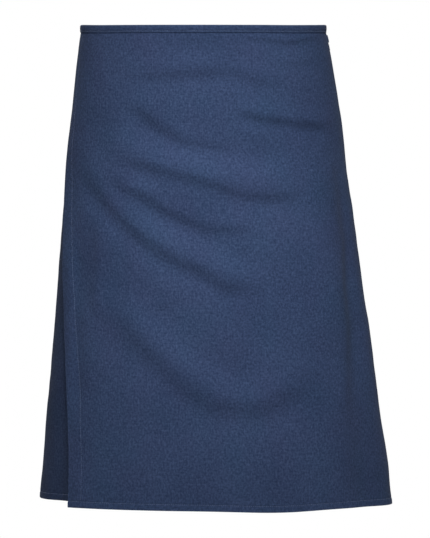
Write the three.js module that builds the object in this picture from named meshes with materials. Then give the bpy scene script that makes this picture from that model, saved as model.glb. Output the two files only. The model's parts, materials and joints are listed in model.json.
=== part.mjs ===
// A wrap-round waist apron of heavy twill, hanging as it does when it is tied on.
// Millimetres, +Z up. The origin is the middle of the waist at the apron's top edge,
// the front faces -Y and the cloth hangs down towards -Z.
//
// Every piece is laid on one wrapped surface. A place on it is an angle, a depth and a lift:
//   angle  degrees round the wearer: 0 is the middle of the front, 90 the +X side, 180 the back,
//          270 the -X side again, and past 270 the cloth runs on underneath the front
//   depth  millimetres down from the top edge
//   lift   millimetres out from the middle of the cloth that lies there
import * as THREE from 'three';

// ---- Driving dimensions ----
const LENGTH = 700;              // top edge to hem
const WAIST_HALF_WIDTH = 178.4;
const WAIST_HALF_DEPTH = 118;
const HEM_HALF_WIDTH = 257.5;
const HEM_HALF_DEPTH = 174;
const HEM_SHIFT_X = 17.4;        // the skirt hangs a little to one side
const HEM_SHIFT_Y = -8;          // and a little forward
const HIP_FULLNESS = 4.6;        // extra half width gained just below the waistband
const HIP_FALL = 0.06;           // share of the length over which it is gained
const BACK_RISE = 8;             // the back and the under layer hang this much shorter

const CLOTH = 1.0;
const FIT = 0.3;                 // gap between pieces that touch
const SEAM_GAP = 0.4;            // gap between two panels that are sewn edge to edge
const WAIST_LAYER_GAP = 4.4;     // middle of the under layer to middle of the outer layer
const HEM_LAYER_GAP = 7.0;
const SPIRAL_START = 150;        // the outer layer becomes the under layer between these angles
const SPIRAL_END = 264;

const RIGHT_SEAM = 90;
const LEFT_SEAM = 270;
const WRAP_START = -90;          // free edge of the front at the top
const EDGE_DRIFT = 33.5;         // degrees that this edge has moved to the front at the hem
const WRAP_END = 348;            // inner end of the under layer
const COLUMN = 6;                // degrees between two folds of the faceted cloth

const BAND_HEIGHT = 11;
const BAND_WALL = 0.8;
const TIE_WIDTH = 11;
const TIE_THICKNESS = 1.4;

const BELOW_BAND = 2;            // clear cloth between the waistband and what lies below it
const SLIT_CLEARANCE = 1.5;      // above and below the tie in the slit of the right seam
const SLIT_HALF_WIDTH = 2.6;

const LAP_TOP = 200;             // depth where the loose lap of the front begins
const LAP_TOP_WIDTH = 10;
const LAP_HEM_ANGLE = -30;       // the lap's fold line meets the hem here
const LAP_GAP = 1.0;

const SIDE_HEM = 25;             // free edge to its stitch line
const BOTTOM_HEM = 9;
const BACK_END_HEM = 12;
const SEAM_ROWS = [3, 9];        // stitch rows beside a side seam
const THREAD_WIDTH = 0.8;
const THREAD_THICKNESS = 0.5;

const KNOT_HALF_WIDTH = 8;
const KNOT_WRAP = 1;             // how far the knot stands past the tie's edges
const KNOT_TOP = 0.5;            // top of the knot, down from the top edge
const KNOT_THICKNESS = 9;
const KNOT_ROUNDING = 3;
const LOOP_LENGTH = 74;
const LOOP_OPENING = 12;
const LOOP_DROOP = 34;           // degrees below level
const LEFT_TAIL = 205;
const RIGHT_TAIL = 238;
const TAIL_GAP = 0.9;            // between the two tails at the knot
const TAIL_SPLAY = 0.016;        // degrees further out for each millimetre down

const TACK_LENGTH = 8;
const TACK_WIDTH = 2;

// Soft upright waves of the hanging cloth: where, how wide, how far out at the hem,
// and the share of the length where each one begins.
const FLUTES = [
  { at: 60, width: 9, out: -6, from: 0.15 },
  { at: 80, width: 10, out: 3, from: 0.3 },
  { at: 112, width: 10, out: -6, from: 0.1 },
  { at: 133, width: 10, out: 9, from: 0.1 },
  { at: 155, width: 10, out: -9, from: 0.12 },
  { at: 177, width: 10, out: 10, from: 0.12 },
  { at: 199, width: 10, out: -9, from: 0.12 },
  { at: 221, width: 10, out: 9, from: 0.1 },
  { at: 243, width: 9, out: -7, from: 0.1 },
  { at: 262, width: 8, out: 4, from: 0.2 },
  { at: 295, width: 7, out: -5, from: 0.2 },
];

// ---- Finishes ----
const TWILL = new THREE.MeshStandardMaterial({ color: 0x34415e, roughness: 0.95, metalness: 0 });
const TWILL_INSIDE = new THREE.MeshStandardMaterial({ color: 0x3a4866, roughness: 0.95, metalness: 0 });
const BINDING = new THREE.MeshStandardMaterial({ color: 0x303c58, roughness: 0.9, metalness: 0 });
const THREAD = new THREE.MeshStandardMaterial({ color: 0x46546f, roughness: 0.7, metalness: 0 });

// ---- The wrapped surface ----
const DEGREE = Math.PI / 180;

function mix(from, to, share) {
  return from + (to - from) * share;
}

function smoothStep(value, low, high) {
  const share = Math.min(1, Math.max(0, (value - low) / (high - low)));
  return share * share * (3 - 2 * share);
}

// Share of the fall: 0 as far as the waistband's lower edge, 1 at the hem.
function fallAt(depth) {
  return Math.max(0, depth - BAND_HEIGHT) / (LENGTH - BAND_HEIGHT);
}

function fluteOut(angle, fall) {
  let out = 0;
  for (const flute of FLUTES) {
    const away = (angle - flute.at) / flute.width;
    out += flute.out * Math.exp(-away * away) * smoothStep(fall, flute.from, 1.15);
  }
  return out;
}

function layerOut(angle, fall) {
  return -mix(WAIST_LAYER_GAP, HEM_LAYER_GAP, fall) * smoothStep(angle, SPIRAL_START, SPIRAL_END);
}

function wrapPoint(angle, depth, lift) {
  const fall = fallAt(depth);
  const hip = HIP_FULLNESS * (1 - Math.exp(-fall / HIP_FALL));
  const halfWidth = mix(WAIST_HALF_WIDTH, HEM_HALF_WIDTH - HIP_FULLNESS, fall) + hip;
  const halfDepth = mix(WAIST_HALF_DEPTH, HEM_HALF_DEPTH, fall);
  const side = Math.sin(angle * DEGREE);
  const front = -Math.cos(angle * DEGREE);
  const normal = new THREE.Vector2(side / halfWidth, front / halfDepth).normalize();
  const out = fluteOut(angle, fall) + layerOut(angle, fall) + lift;
  return new THREE.Vector3(
    HEM_SHIFT_X * fall + halfWidth * side + normal.x * out,
    HEM_SHIFT_Y * fall + halfDepth * front + normal.y * out,
    -depth,
  );
}

// Degrees that cover a length measured round the surface.
function degreesFor(length, angle, depth) {
  const step = 0.5;
  const chord = wrapPoint(angle + step / 2, depth, 0).distanceTo(wrapPoint(angle - step / 2, depth, 0));
  return length * step / chord;
}

// Depth of a place that lies at a share of the way down to the hem.
function hangDepth(angle, share) {
  return share * (LENGTH - BACK_RISE * smoothStep(angle, 100, 262));
}

// Free edge of the front: upright at the side, drifting to the front as it goes down.
function freeEdge(depth) {
  return WRAP_START + EDGE_DRIFT * smoothStep(depth / LENGTH, 0, 1);
}

// Fold line where the loose lap joins the rest of the front.
function lapFold(depth) {
  const top = freeEdge(LAP_TOP) + degreesFor(LAP_TOP_WIDTH, freeEdge(LAP_TOP), LAP_TOP);
  return mix(top, LAP_HEM_ANGLE, (depth - LAP_TOP) / (LENGTH - LAP_TOP));
}

// Depth at which the side hem's stitch line, running down beside the free edge, comes as near
// to the lap's fold line as the given clearance: below zero is still on the front panel.
function foldCrossing(clearance) {
  let high = LAP_TOP;
  let low = LENGTH;
  while (low - high > 0.01) {
    const depth = (high + low) / 2;
    const stitchLine = freeEdge(depth) + degreesFor(SIDE_HEM + clearance, freeEdge(depth), depth);
    if (stitchLine > lapFold(depth)) {
      high = depth;
    } else {
      low = depth;
    }
  }
  return low;
}

// ---- Shaping helpers ----

// Moves each corner of a geometry to the place that a function gives for it.
function shape(geometry, place) {
  const corners = geometry.getAttribute('position');
  for (let i = 0; i < corners.count; i += 1) {
    const target = place(corners.getX(i), corners.getY(i), corners.getZ(i));
    corners.setXYZ(i, target.x, target.y, target.z);
  }
  geometry.computeVertexNormals();
  return geometry;
}

function named(name, geometry, material) {
  const mesh = new THREE.Mesh(geometry, material);
  mesh.name = name;
  return mesh;
}

// Shares of the length at which a panel is faceted, with the levels that it needs added. The
// cloth is upright inside the waistband, so a level lies at the waistband's lower edge.
function panelShares(first, extra) {
  const even = [0.07, 0.15, 0.25, 0.38, 0.5, 0.62, 0.74, 0.87, 1];
  const bandEdge = first < BAND_HEIGHT ? [BAND_HEIGHT] : [];
  const needed = [first, ...bandEdge, ...extra].map((depth) => depth / LENGTH);
  const near = (share) => needed.some((other) => Math.abs(other - share) < 0.012);
  const start = first / LENGTH;
  return [...needed, ...even.filter((share) => share > start && !near(share))].sort((a, b) => a - b);
}

// A panel of cloth between two upright edges, faceted at the given shares of the length.
function panel(columns, shares, startEdge, finishEdge) {
  const rows = shares.length - 1;
  const sheet = new THREE.BoxGeometry(1, 1, 1, columns, rows, 1);
  return shape(sheet, (across, up, out) => {
    const share = shares[Math.round((0.5 - up) * rows)];
    const level = share * LENGTH;
    const angle = mix(startEdge(level), finishEdge(level), across + 0.5);
    return wrapPoint(angle, hangDepth(angle, share), out * CLOTH);
  });
}

// A flat strip along a route. The route gives an angle, a depth and a lift for each share of
// its way, and the strip's width lies down the cloth or round it.
function strip(steps, width, thickness, route, lies) {
  const tape = new THREE.BoxGeometry(1, 1, 1, steps, 1, 1);
  return shape(tape, (along, across, out) => {
    const place = route(along + 0.5);
    if (lies === 'down') {
      return wrapPoint(place.angle, place.depth - across * width, place.lift + out * thickness);
    }
    const turn = degreesFor(across * width, place.angle, place.depth);
    return wrapPoint(place.angle + turn, place.depth, place.lift + out * thickness);
  });
}

// A row of stitching on the outer face of the cloth.
const THREAD_LIFT = CLOTH / 2 + FIT + THREAD_THICKNESS / 2;

function levelStitching(name, steps, from, to, up) {
  const route = (share) => {
    const angle = mix(from, to, share);
    return { angle, depth: hangDepth(angle, 1) - up, lift: THREAD_LIFT };
  };
  return named(name, strip(steps, THREAD_WIDTH, THREAD_THICKNESS, route, 'down'), THREAD);
}

// The same, running down the cloth beside an edge. It is laid from the hem up, so that its
// width, which goes round the cloth, keeps the strip's faces pointing out.
function uprightStitching(name, shares, edge, beside) {
  const levels = [...shares].reverse();
  const steps = levels.length - 1;
  const route = (share) => {
    const level = levels[Math.round(share * steps)] * LENGTH;
    const angle = edge(level) + degreesFor(beside, edge(level), level);
    return { angle, depth: hangDepth(angle, level / LENGTH), lift: THREAD_LIFT };
  };
  const tape = strip(steps, -THREAD_WIDTH, THREAD_THICKNESS, route, 'round');
  return named(name, tape, THREAD);
}

// ---- Panels ----
const PANEL_TOP = BAND_WALL + FIT;
const SLIT_TOP = BAND_HEIGHT + BELOW_BAND;
const SLIT_BOTTOM = SLIT_TOP + TIE_WIDTH + 2 * SLIT_CLEARANCE;
const SLIT_SLOPE = 0.6;

// Half the gap at the right seam: narrow where it is sewn and wide in the slit.
function rightSeamHalfGap(level) {
  const inSlit = level > SLIT_TOP - 0.01 && level < SLIT_BOTTOM + 0.01;
  return inSlit ? SLIT_HALF_WIDTH : SEAM_GAP / 2;
}

function rightSeamEdge(side) {
  return (level) => {
    const gap = rightSeamHalfGap(level);
    return RIGHT_SEAM + side * degreesFor(gap, RIGHT_SEAM, level);
  };
}

function leftSeamEdge(side) {
  return (level) => LEFT_SEAM + side * degreesFor(SEAM_GAP / 2, LEFT_SEAM, level);
}

const SLIT_LEVELS = [SLIT_TOP - SLIT_SLOPE, SLIT_TOP, SLIT_BOTTOM, SLIT_BOTTOM + SLIT_SLOPE];

// The front stops at the free edge above the lap, and at the lap's fold line beside it.
function frontStart(level) {
  if (level < LAP_TOP - 1.5 * LAP_GAP) {
    return freeEdge(level);
  }
  const fold = lapFold(Math.max(level, LAP_TOP));
  return fold + degreesFor(LAP_GAP, fold, level);
}

function columnsBetween(from, to) {
  return Math.round((to - from) / COLUMN);
}

// Angles of the cloth's folds that lie between two angles, clear of both.
function columnAngles(from, to) {
  const angles = [];
  for (let angle = Math.ceil(from / COLUMN) * COLUMN; angle < to - 1; angle += COLUMN) {
    if (angle > from + 1) {
      angles.push(angle);
    }
  }
  return angles;
}

function frontPanel() {
  const shares = panelShares(PANEL_TOP, [...SLIT_LEVELS, LAP_TOP - 2 * LAP_GAP, LAP_TOP - LAP_GAP]);
  const columns = columnsBetween(WRAP_START, RIGHT_SEAM);
  return named('front_panel', panel(columns, shares, frontStart, rightSeamEdge(-1)), TWILL);
}

function frontLap() {
  const shares = panelShares(LAP_TOP, []);
  const columns = 8;
  return named('front_lap', panel(columns, shares, freeEdge, lapFold), TWILL);
}

function backPanel() {
  const shares = panelShares(PANEL_TOP, SLIT_LEVELS);
  const columns = columnsBetween(RIGHT_SEAM, LEFT_SEAM);
  return named('back_panel', panel(columns, shares, rightSeamEdge(1), leftSeamEdge(-1)), TWILL);
}

function underPanel() {
  const shares = panelShares(PANEL_TOP, []);
  const columns = columnsBetween(LEFT_SEAM, WRAP_END);
  return named('under_panel', panel(columns, shares, leftSeamEdge(1), () => WRAP_END), TWILL_INSIDE);
}

// ---- Waistband and ties ----
const BAND_HALF = CLOTH / 2 + FIT + BAND_WALL;
const OVER_STITCHES = BAND_HALF + FIT + THREAD_THICKNESS + FIT;
const TIE_SEAT = OVER_STITCHES + TIE_THICKNESS / 2;

// A binding folded over the top edge of the whole wrap, open below.
function waistband() {
  const inner = BAND_HALF - BAND_WALL;
  const fold = new THREE.Shape();
  fold.moveTo(-BAND_HALF, -BAND_HEIGHT);
  fold.lineTo(-inner, -BAND_HEIGHT);
  fold.lineTo(-inner, -BAND_WALL);
  fold.lineTo(inner, -BAND_WALL);
  fold.lineTo(inner, -BAND_HEIGHT);
  fold.lineTo(BAND_HALF, -BAND_HEIGHT);
  fold.lineTo(BAND_HALF, 0);
  fold.lineTo(-BAND_HALF, 0);
  const steps = columnsBetween(WRAP_START, WRAP_END);
  const binding = new THREE.ExtrudeGeometry(fold, { depth: 1, steps, bevelEnabled: false });
  const bent = shape(binding, (out, up, along) => wrapPoint(mix(WRAP_END, WRAP_START, along), -up, out));
  return named('waistband', bent, BINDING);
}

function waistbandStitching() {
  const steps = columnsBetween(WRAP_START, WRAP_END);
  const lift = BAND_HALF + FIT + THREAD_THICKNESS / 2;
  const depth = BAND_HEIGHT - 2;
  const ends = degreesFor(2 * TACK_WIDTH, WRAP_START, 0);
  const route = (share) => ({ angle: mix(WRAP_START + ends, WRAP_END - ends, share), depth, lift });
  return named('waistband_stitching', strip(steps, THREAD_WIDTH, THREAD_THICKNESS, route, 'down'), THREAD);
}

const KNOT_HALF_HEIGHT = TIE_WIDTH / 2 + KNOT_WRAP;
const KNOT_DEPTH = KNOT_TOP + KNOT_HALF_HEIGHT;

// Degrees from the middle of the back to where a tie goes into the knot.
function knotReach() {
  return degreesFor(KNOT_HALF_WIDTH + FIT, 180, KNOT_DEPTH);
}

const TIE_IN_KNOT = OVER_STITCHES + 2.4;

// The tie from the outer end of the waistband runs back round the left side to the knot.
function leftTie() {
  const start = WRAP_START + 360 - degreesFor(FIT, WRAP_START, 0);
  const end = 180 + knotReach();
  const steps = 20;
  const route = (share) => {
    const angle = mix(end, start, share);
    const underThere = layerOut(angle, 0);
    const seat = mix(TIE_SEAT, -underThere, smoothStep(angle, 215, 262));
    const lift = mix(TIE_IN_KNOT, seat, smoothStep(angle, end, end + 9));
    return { angle, depth: mix(KNOT_DEPTH, BAND_HEIGHT / 2, smoothStep(share, 0, 0.4)), lift };
  };
  return named('tie_left', strip(steps, TIE_WIDTH, TIE_THICKNESS, route, 'down'), BINDING);
}

// The tie from the inner end runs across behind the front, out through the slit in the right
// seam, and on round the back to the knot.
function rightTie() {
  const start = WRAP_END - 360 + degreesFor(FIT, WRAP_END, 0);
  const end = 180 - knotReach();
  const slitDepth = (SLIT_TOP + SLIT_BOTTOM) / 2;
  const besideSlit = CLOTH / 2 + 0.8 + TIE_THICKNESS / 2;
  const crossing = degreesFor(2, RIGHT_SEAM, slitDepth);
  const nearby = degreesFor(24, RIGHT_SEAM, slitDepth);
  const before = RIGHT_SEAM - crossing;
  const after = RIGHT_SEAM + crossing;
  const folds = columnAngles(start, before - nearby);
  const through = [before - nearby, before - nearby / 2, before, after, after + nearby / 2, after + nearby];
  const stations = [start, ...folds, ...through, ...columnAngles(after + nearby, end), end];
  const steps = stations.length - 1;
  const route = (share) => {
    const angle = stations[Math.round(share * steps)];
    if (angle < RIGHT_SEAM) {
      const sink = smoothStep(angle, start + 10, before - nearby / 2);
      const lift = -mix(WAIST_LAYER_GAP, besideSlit, smoothStep(angle, before - nearby, before));
      return { angle, depth: mix(BAND_HEIGHT / 2, slitDepth, sink), lift };
    }
    const rise = smoothStep(angle, after + nearby / 2, 165);
    const seat = mix(besideSlit, TIE_SEAT, smoothStep(angle, after, after + nearby));
    const lift = mix(seat, TIE_IN_KNOT, smoothStep(angle, end - 9, end));
    return { angle, depth: mix(slitDepth, KNOT_DEPTH, rise), lift };
  };
  return named('tie_right', strip(steps, TIE_WIDTH, TIE_THICKNESS, route, 'down'), BINDING);
}

function bowKnot() {
  const w = KNOT_HALF_WIDTH;
  const h = KNOT_HALF_HEIGHT;
  const r = KNOT_ROUNDING;
  const bevel = 1.2;
  const face = new THREE.Shape();
  face.moveTo(-w + r, -h);
  face.lineTo(w - r, -h);
  face.absarc(w - r, -h + r, r, -Math.PI / 2, 0);
  face.lineTo(w, h - r);
  face.absarc(w - r, h - r, r, 0, Math.PI / 2);
  face.lineTo(-w + r, h);
  face.absarc(-w + r, h - r, r, Math.PI / 2, Math.PI);
  face.lineTo(-w, -h + r);
  face.absarc(-w + r, -h + r, r, Math.PI, Math.PI * 1.5);
  const lump = new THREE.ExtrudeGeometry(face, {
    depth: KNOT_THICKNESS - 2 * bevel,
    bevelThickness: bevel,
    bevelSize: bevel,
    bevelOffset: -bevel,
    bevelSegments: 2,
    curveSegments: 3,
  });
  const seat = wrapPoint(180, KNOT_DEPTH, OVER_STITCHES + bevel);
  const bent = shape(lump, (across, up, out) => (
    new THREE.Vector3(seat.x - across, seat.y + out, seat.z + up)
  ));
  return named('bow_knot', bent, BINDING);
}

// A loop of the bow: the tie goes out along the droop line, turns and comes back outside itself.
function bowLoop(name, side) {
  const droop = LOOP_DROOP * DEGREE;
  const cornerReach = (KNOT_HALF_WIDTH - KNOT_ROUNDING) * Math.cos(droop)
    + (KNOT_HALF_HEIGHT - KNOT_ROUNDING) * Math.sin(droop) + KNOT_ROUNDING;
  const start = cornerReach + FIT;
  const inner = OVER_STITCHES + 4.9;
  const outer = inner + 2.6;
  const path = new THREE.CatmullRomCurve3([
    new THREE.Vector3(start, inner, 0),
    new THREE.Vector3(LOOP_LENGTH * 0.4, inner - 1.2, 0),
    new THREE.Vector3(LOOP_LENGTH * 0.78, inner - 0.6, 0),
    new THREE.Vector3(LOOP_LENGTH, inner + LOOP_OPENING * 0.45, 0),
    new THREE.Vector3(LOOP_LENGTH * 0.8, inner + LOOP_OPENING, 0),
    new THREE.Vector3(LOOP_LENGTH * 0.42, inner + LOOP_OPENING * 0.72, 0),
    new THREE.Vector3(start, outer, 0),
  ]);
  const centre = wrapPoint(180, KNOT_DEPTH, 0);
  const tape = new THREE.BoxGeometry(1, 1, 1, 22, 1, 1);
  const bent = shape(tape, (along, across, out) => {
    const point = path.getPoint(along + 0.5);
    const run = path.getTangent(along + 0.5);
    const reach = point.x + side * run.y * out * TIE_THICKNESS;
    const lift = point.y - side * run.x * out * TIE_THICKNESS;
    const rise = across * TIE_WIDTH;
    return new THREE.Vector3(
      centre.x + side * (reach * Math.cos(droop) + rise * Math.sin(droop)),
      centre.y + lift,
      centre.z - reach * Math.sin(droop) + rise * Math.cos(droop),
    );
  });
  return named(name, bent, BINDING);
}

// A tail of the bow hangs from the knot and rests on the back panel.
function bowTail(name, side, length) {
  const steps = 12;
  const top = KNOT_DEPTH + KNOT_HALF_HEIGHT + FIT;
  const rest = CLOTH / 2 + 1.2 + TIE_THICKNESS / 2;
  const spread = degreesFor((TIE_WIDTH + TAIL_GAP) / 2, 180, top);
  const route = (share) => {
    const depth = mix(top + length, top, share);
    const angle = 180 + side * (spread + TAIL_SPLAY * (depth - top));
    const lift = mix(TIE_SEAT + FIT, rest, smoothStep(depth, top, top + 45));
    return { angle, depth, lift };
  };
  const tape = strip(steps, -TIE_WIDTH, TIE_THICKNESS, route, 'round');
  return named(name, tape, BINDING);
}

// A short bar of close stitches over a corner that is pulled.
function barTack(name, angle, depth, lift) {
  const route = (share) => ({ angle, depth: mix(depth + TACK_LENGTH / 2, depth - TACK_LENGTH / 2, share), lift });
  const bar = strip(1, -TACK_WIDTH, THREAD_THICKNESS, route, 'round');
  return named(name, bar, THREAD);
}

function barTacks() {
  const onBand = BAND_HALF + FIT + THREAD_THICKNESS / 2;
  const inset = degreesFor(TACK_WIDTH, WRAP_START, 0);
  const slitEnd = SLIT_BOTTOM + SLIT_SLOPE + TACK_LENGTH / 2 + 1;
  return [
    barTack('outer_end_tack', WRAP_START + inset, BAND_HEIGHT / 2, onBand),
    barTack('inner_end_tack', WRAP_END - inset, BAND_HEIGHT / 2, onBand),
    barTack('slit_tack', RIGHT_SEAM, slitEnd, THREAD_LIFT),
  ];
}

// ---- Stitching of hems, edges and seams ----
function seamRows(prefix, edge, towards, shares) {
  return SEAM_ROWS.map((beside, index) => (
    uprightStitching(`${prefix}_seam_stitching_${index + 1}`, shares, edge, towards * beside)
  ));
}

function stitching() {
  const belowBand = BAND_HEIGHT + BELOW_BAND;
  const hemLine = LENGTH - BOTTOM_HEM - 2;
  const frontEnd = foldCrossing(-LAP_GAP - THREAD_WIDTH);
  const frontLevels = panelShares(belowBand, [LAP_TOP, frontEnd]).filter((share) => (
    share * LENGTH < frontEnd + 0.01
  ));
  const lapStart = foldCrossing(THREAD_WIDTH);
  const lapLevels = [...panelShares(lapStart, []).filter((share) => share < 1), hemLine / LENGTH];
  const underLevels = [...panelShares(belowBand, []).filter((share) => share < 1), hemLine / LENGTH];
  const slitEnd = SLIT_BOTTOM + SLIT_SLOPE + TACK_LENGTH + 3;
  const rightLevels = [...panelShares(slitEnd, []).filter((share) => share < 1), hemLine / LENGTH];
  const fold = lapFold(LENGTH);
  const clear = degreesFor(1, 0, LENGTH);
  const end = () => WRAP_END;
  return [
    uprightStitching('front_edge_stitching', frontLevels, freeEdge, SIDE_HEM),
    uprightStitching('lap_edge_stitching', lapLevels, freeEdge, SIDE_HEM),
    uprightStitching('under_edge_stitching', underLevels, end, -BACK_END_HEM),
    levelStitching('lap_hem_stitching', 8, freeEdge(LENGTH) + clear, fold - clear, BOTTOM_HEM),
    levelStitching('front_hem_stitching', columnsBetween(WRAP_START, RIGHT_SEAM), frontStart(LENGTH),
      rightSeamEdge(-1)(LENGTH), BOTTOM_HEM),
    levelStitching('back_hem_stitching', columnsBetween(RIGHT_SEAM, LEFT_SEAM), rightSeamEdge(1)(LENGTH),
      leftSeamEdge(-1)(LENGTH), BOTTOM_HEM),
    levelStitching('under_hem_stitching', columnsBetween(LEFT_SEAM, WRAP_END), leftSeamEdge(1)(LENGTH),
      WRAP_END - clear, BOTTOM_HEM),
    ...seamRows('right', () => RIGHT_SEAM, -1, rightLevels),
    ...seamRows('left', () => LEFT_SEAM, -1, underLevels),
  ];
}

// ---- The apron ----
const group = new THREE.Group();
group.name = 'wrap_apron';
group.add(
  frontPanel(),
  frontLap(),
  backPanel(),
  underPanel(),
  waistband(),
  waistbandStitching(),
  leftTie(),
  rightTie(),
  bowKnot(),
  bowLoop('bow_loop_left', -1),
  bowLoop('bow_loop_right', 1),
  bowTail('bow_tail_left', 1, LEFT_TAIL),
  bowTail('bow_tail_right', -1, RIGHT_TAIL),
  ...barTacks(),
  ...stitching(),
);

export default group;
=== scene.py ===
# %% [markdown]
# # A wrap-round welding apron in heavy blue twill
# The real thing is cloth, thread and two ties. Three flared panels are sewn into one long wrap.
# A narrow strip is folded over the top edge, and its ends run on as ties that meet in a bow behind.
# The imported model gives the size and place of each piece. Here each one gets the shape that the
# cloth takes when it hangs, and then its finish.

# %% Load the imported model
import json
import math

import bpy
import numpy as np
from mathutils import Matrix, Vector


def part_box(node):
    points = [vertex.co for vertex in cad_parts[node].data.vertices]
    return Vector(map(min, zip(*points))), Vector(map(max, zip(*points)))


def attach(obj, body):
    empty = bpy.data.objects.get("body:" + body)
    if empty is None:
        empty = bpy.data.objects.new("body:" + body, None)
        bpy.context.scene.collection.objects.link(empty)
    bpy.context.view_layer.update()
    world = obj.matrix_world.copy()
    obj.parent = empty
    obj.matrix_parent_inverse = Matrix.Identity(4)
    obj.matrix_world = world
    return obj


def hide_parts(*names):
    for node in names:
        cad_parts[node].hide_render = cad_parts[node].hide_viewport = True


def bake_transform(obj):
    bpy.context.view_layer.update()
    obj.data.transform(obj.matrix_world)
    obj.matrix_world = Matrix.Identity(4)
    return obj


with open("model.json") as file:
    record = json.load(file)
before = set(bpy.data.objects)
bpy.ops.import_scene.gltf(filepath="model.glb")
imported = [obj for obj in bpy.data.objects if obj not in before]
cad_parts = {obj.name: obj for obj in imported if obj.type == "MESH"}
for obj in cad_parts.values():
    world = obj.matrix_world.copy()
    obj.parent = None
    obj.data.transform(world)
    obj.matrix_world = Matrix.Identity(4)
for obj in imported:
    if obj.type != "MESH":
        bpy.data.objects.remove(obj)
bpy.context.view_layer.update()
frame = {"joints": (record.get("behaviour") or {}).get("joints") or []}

MM = 0.001

# %% [markdown]
# ## Camera
# The apron is seen straight from the front, from far away with a long lens, so that its outline is
# nearly free of perspective. The camera stands between the middle of the apron and its waist, so it
# looks slightly up at the waistband and the inside stays hidden.

# %% Camera
CAMERA_DISTANCE = 6.0
CAMERA_HEIGHT = -0.175
AIM = Vector((0.017, 0.0, -0.357))
VIEW_HEIGHT = 0.788              # height of the view at the plane of the wearer's sides
SENSOR = 36.0

camera_data = bpy.data.cameras.new("front_camera")
camera = bpy.data.objects.new("front_camera", camera_data)
bpy.context.scene.collection.objects.link(camera)
camera.location = (AIM.x, -CAMERA_DISTANCE, CAMERA_HEIGHT)
camera.rotation_euler = (AIM - camera.location).to_track_quat("-Z", "Y").to_euler()
camera_data.sensor_width = SENSOR
camera_data.lens = SENSOR * CAMERA_DISTANCE / VIEW_HEIGHT
camera_data.clip_end = 60
bpy.context.scene.camera = camera
print("lens", round(camera_data.lens, 1), "mm")

# %% [markdown]
# ## Floor
# The apron hangs at the height of a wearer's waist, so the floor is about a metre below it. It is a
# large plain disc, set forward so that it ends behind the apron before it can rise into the view.

# %% Floor
FLOOR_Z = -1.02
FLOOR_RADIUS = 30
FLOOR_BEHIND = 2.5               # the floor ends this far behind the apron
FLOOR_GREY = 0.78


def floor_material():
    """Plain pale floor."""
    material = bpy.data.materials.new("pale_floor")
    material.use_nodes = True
    shader = material.node_tree.nodes["Principled BSDF"]
    shader.inputs["Base Color"].default_value = (FLOOR_GREY, FLOOR_GREY, FLOOR_GREY, 1)
    shader.inputs["Roughness"].default_value = 0.9
    return material


bpy.ops.object.select_all(action="DESELECT")
bpy.ops.mesh.primitive_circle_add(
    vertices=128, radius=FLOOR_RADIUS, fill_type="NGON", location=(0, FLOOR_BEHIND - FLOOR_RADIUS, FLOOR_Z))
floor = bpy.context.object
floor.name = "floor"
floor.data.materials.append(floor_material())
print("floor at", FLOOR_Z, "m")

# %% [markdown]
# ## Light
# Dark cloth shows its folds only where light falls across them. A room that is white all round
# would light both sides and wash them out, so the room is grey and only a broad screen behind the
# apron is white. The main lamp is in front and high up, with its light kept together, so that it
# grazes the folds and fades towards the hem. A second lamp behind lights the back and its ties.

# %% Grey room and white screen
ROOM_LIGHT = 0.50
BELOW_HORIZON = 0.40
HORIZON_BLEND = 0.03             # the two greys meet softly at the horizon
SCREEN_EDGE = (0.62, 0.93)       # the screen fades in between these shares of straight behind

world = bpy.data.worlds.new("studio_surround")
bpy.context.scene.world = world
world.use_nodes = True
nodes, links = world.node_tree.nodes, world.node_tree.links
direction = nodes.new("ShaderNodeTexCoord")
split = nodes.new("ShaderNodeSeparateXYZ")
room = nodes.new("ShaderNodeMapRange")
screen = nodes.new("ShaderNodeMapRange")
screen.interpolation_type = "SMOOTHSTEP"
room.inputs["From Min"].default_value = -HORIZON_BLEND
room.inputs["From Max"].default_value = HORIZON_BLEND
room.inputs["To Min"].default_value = BELOW_HORIZON
room.inputs["To Max"].default_value = ROOM_LIGHT
screen.inputs["From Min"].default_value = SCREEN_EDGE[0]
screen.inputs["From Max"].default_value = SCREEN_EDGE[1]
screen.inputs["To Max"].default_value = 1.0
links.new(direction.outputs["Generated"], split.inputs[0])
links.new(split.outputs["Z"], room.inputs["Value"])
links.new(split.outputs["Y"], screen.inputs["Value"])
links.new(room.outputs["Result"], screen.inputs["To Min"])
links.new(screen.outputs["Result"], nodes["Background"].inputs["Strength"])
nodes["Background"].inputs["Color"].default_value = (1, 1, 1, 1)
print("room", ROOM_LIGHT, "and white screen behind")


# %% Lamps
def lamp(name, place, aim, size, power, spread=180):
    """A square lamp that faces a point, with its light kept within a spread of degrees."""
    data = bpy.data.lights.new(name, "AREA")
    data.shape = "SQUARE"
    data.size = size
    data.energy = power
    data.spread = math.radians(spread)
    made = bpy.data.objects.new(name, data)
    bpy.context.scene.collection.objects.link(made)
    made.location = place
    made.rotation_euler = (Vector(aim) - Vector(place)).to_track_quat("-Z", "Y").to_euler()
    print(name, power, "W,", size, "m square")


lamp("key_lamp", (0.10, -1.5, 0.98), (0.0, -0.12, -0.31), 0.7, 4.9, spread=38)
lamp("back_lamp", (-0.6, 1.7, 1.3), (0, 0.1, -0.25), 1.0, 34)
bpy.context.scene.view_settings.view_transform = "Standard"

# %% [markdown]
# ## The wrapped surface
# Every piece lies on one surface that goes round the wearer a little more than once. A place on it
# is an angle (0 is the middle of the front, 90 the side with the slit, 180 the back, and past 270
# the cloth runs on underneath the front), a depth below the top edge, and a lift off the cloth, all
# in millimetres and degrees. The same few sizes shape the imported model, so the pieces agree.

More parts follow.
